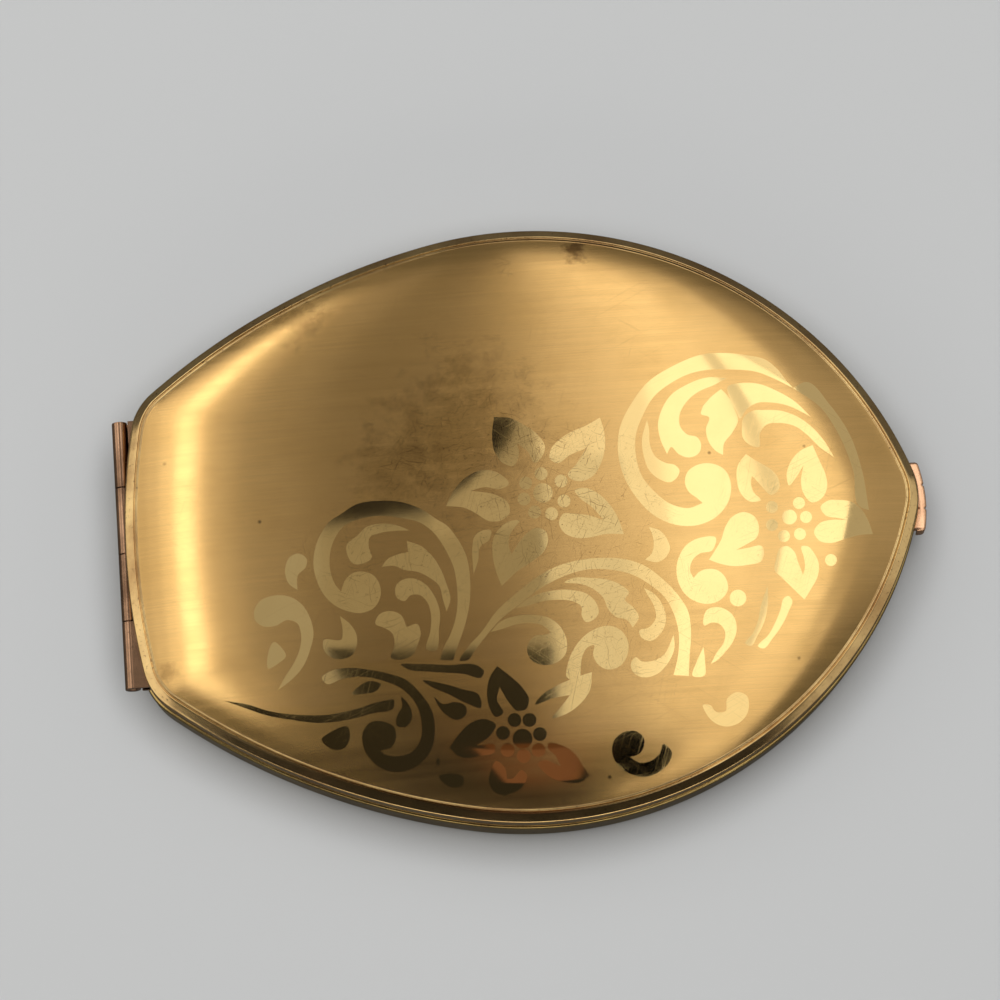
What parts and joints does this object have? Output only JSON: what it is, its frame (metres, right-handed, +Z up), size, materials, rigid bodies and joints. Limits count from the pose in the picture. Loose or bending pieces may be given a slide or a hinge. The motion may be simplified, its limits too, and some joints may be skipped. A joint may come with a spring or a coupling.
{
  "type": "compact mirror",
  "caption": "Leaf-shaped brass powder compact with a hinged domed lid, mirror, inner door over a powder well, and a push-in thumb catch.",
  "frame": {"origin": "on the flat underside, at the middle of the case's length and width", "axes": "+X from the hinge to the tip, +Z up out of the lid"},
  "size_m": [0.0976, 0.0744, 0.0116],
  "materials": {
    "satin_brass": "satin brushed along the length, with polished scrollwork",
    "polished_brass": "polished",
    "bright_brass": "polished",
    "hinge_brass": "worn",
    "copper": "worn copper plate",
    "steel": "spring steel",
    "mirror": "silvered glass",
    "card": "matte",
    "velour": "napped",
    "ribbon": "satin"
  },
  "bodies": {
    "case": {"base_shell": "polished_brass", "base_hinge_leaf": "hinge_brass", "hinge_pin": "copper", "deck_plate": "bright_brass", "powder_well": "bright_brass", "sifter_frame": "bright_brass", "sifter_screen": "steel", "powder_puff": "velour", "puff_ribbon": "ribbon", "door_bracket": "hinge_brass", "door_pin": "copper", "door_spring": "steel", "catch_guide": "steel", "guide_rivets": "copper", "catch_spring": "steel"},
    "lid": {"lid_shell": "satin_brass", "mirror_bezel": "bright_brass", "mirror_glass": "mirror", "mirror_backing": "card", "lid_catch_lip": "bright_brass", "lid_hinge_leaf": "hinge_brass"},
    "door": {"inner_door": "bright_brass"},
    "catch": {"thumb_piece": "copper", "latch_hook": "steel", "hook_rivet": "copper"}
  },
  "joints": [
    {"name": "lid_hinge", "type": "hinge", "parent": "case", "child": "lid", "pos_m": [-0.04775, 0, 0.00595], "axis": [0, -1, 0], "range_deg": [0, 110]},
    {"name": "door_hinge", "type": "hinge", "parent": "case", "child": "door", "pos_m": [-0.0308, 0, 0.00573], "axis": [0, -1, 0], "range_deg": [0, 55], "deforming": ["door_spring"]},
    {"name": "catch_press", "type": "slide", "parent": "case", "child": "catch", "axis": [-1, 0, 0], "range_m": [0, 0.0005], "stiffness_N_per_m": 1200, "deforming": ["catch_spring"]}
  ],
  "couplings": [
    {"joint": "door_hinge", "follows": "lid_hinge", "ratio": 0.5}
  ]
}
